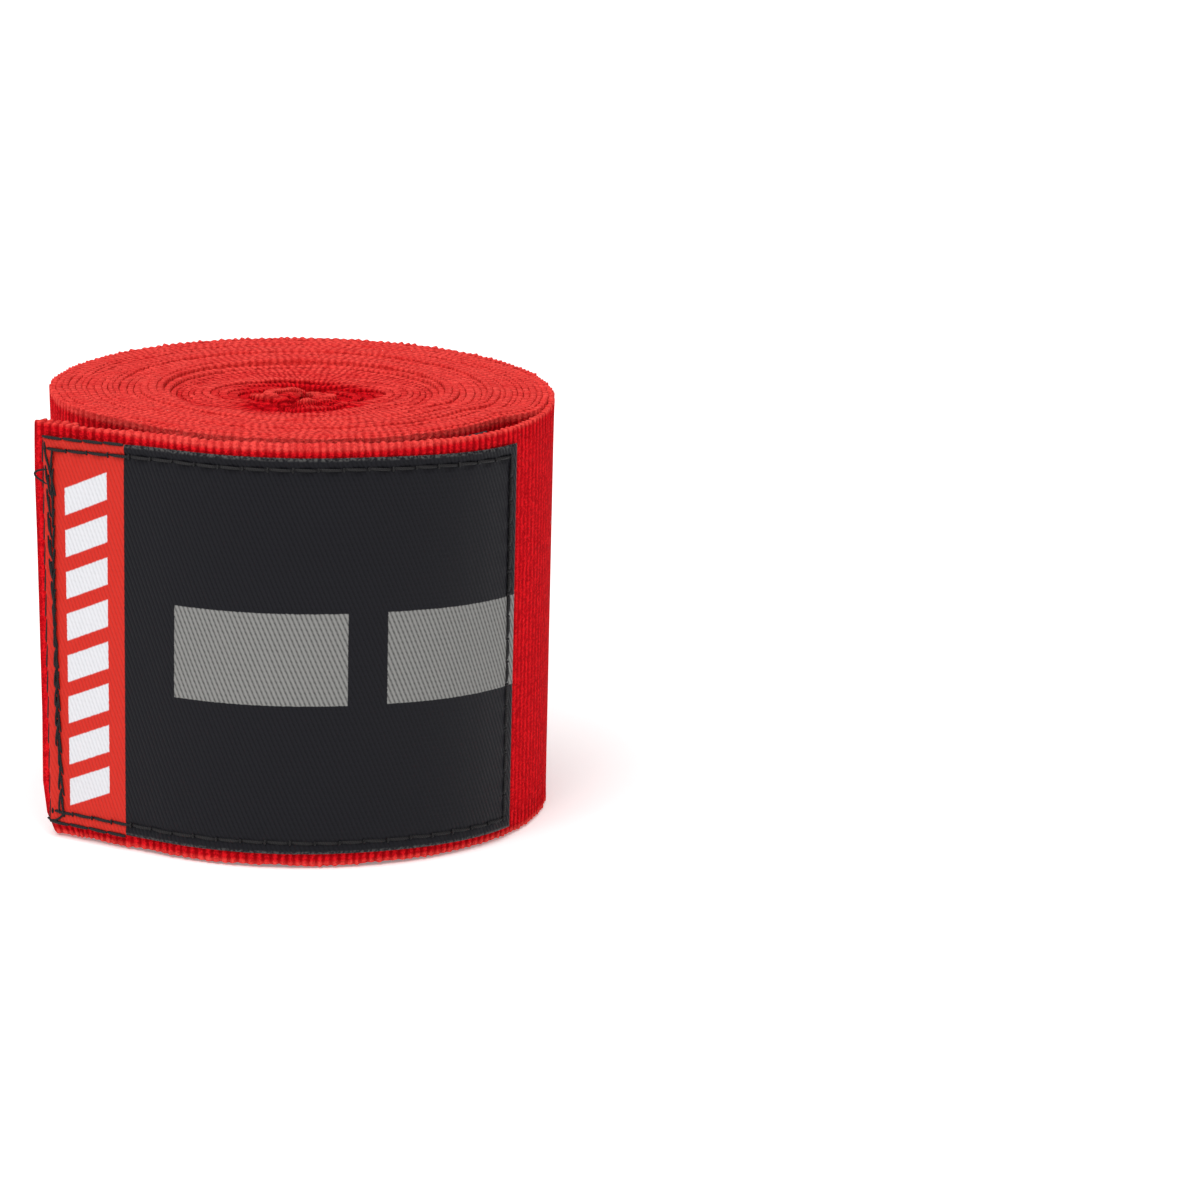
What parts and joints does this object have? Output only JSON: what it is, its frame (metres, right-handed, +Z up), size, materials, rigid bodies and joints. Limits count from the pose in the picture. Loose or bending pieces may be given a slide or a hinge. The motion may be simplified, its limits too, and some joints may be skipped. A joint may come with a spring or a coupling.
{
  "type": "hand wrap",
  "caption": "Rolled elastic cotton hand wrap for boxing, standing on end, with a satin label on its closing flap, hook and loop tapes and a thumb loop.",
  "frame": {"origin": "on the roll's axis, on the end face that the roll stands on", "axes": "+Z up along the roll's axis; -Y out through the middle of the label; +X to the right as the label is faced"},
  "size_m": [0.0598, 0.0603, 0.05],
  "materials": {
    "red_cotton": "matte",
    "label_satin": "satin",
    "hook_tape": "matte",
    "loop_pile": "matte",
    "black_thread": "satin"
  },
  "bodies": {
    "roll": {"rolled_strip": "red_cotton", "thumb_loop": "red_cotton", "thumb_loop_bar_tack": "black_thread", "loop_tape": "loop_pile", "loop_tape_seam": "black_thread"},
    "flap": {"flap_strip": "red_cotton", "hook_tape": "hook_tape", "label": "label_satin", "label_seam": "black_thread", "hook_side_seam": "black_thread"},
    "flap_end": {"flap_end_strip": "red_cotton", "hook_tape_end": "hook_tape", "label_end": "label_satin", "label_end_seam": "black_thread", "flap_end_rows": "black_thread", "hook_side_end_seam": "black_thread"}
  },
  "joints": [
    {"name": "flap_peel", "type": "hinge", "parent": "roll", "child": "flap", "pos_m": [0.02491, -0.01618, 0.025], "axis": [0, 0, 1], "range_deg": [0, 75]},
    {"name": "flap_fold", "type": "hinge", "parent": "flap", "child": "flap_end", "pos_m": [-0.00135, -0.03082, 0.025], "axis": [0, 0, 1], "range_deg": [0, 80]}
  ]
}
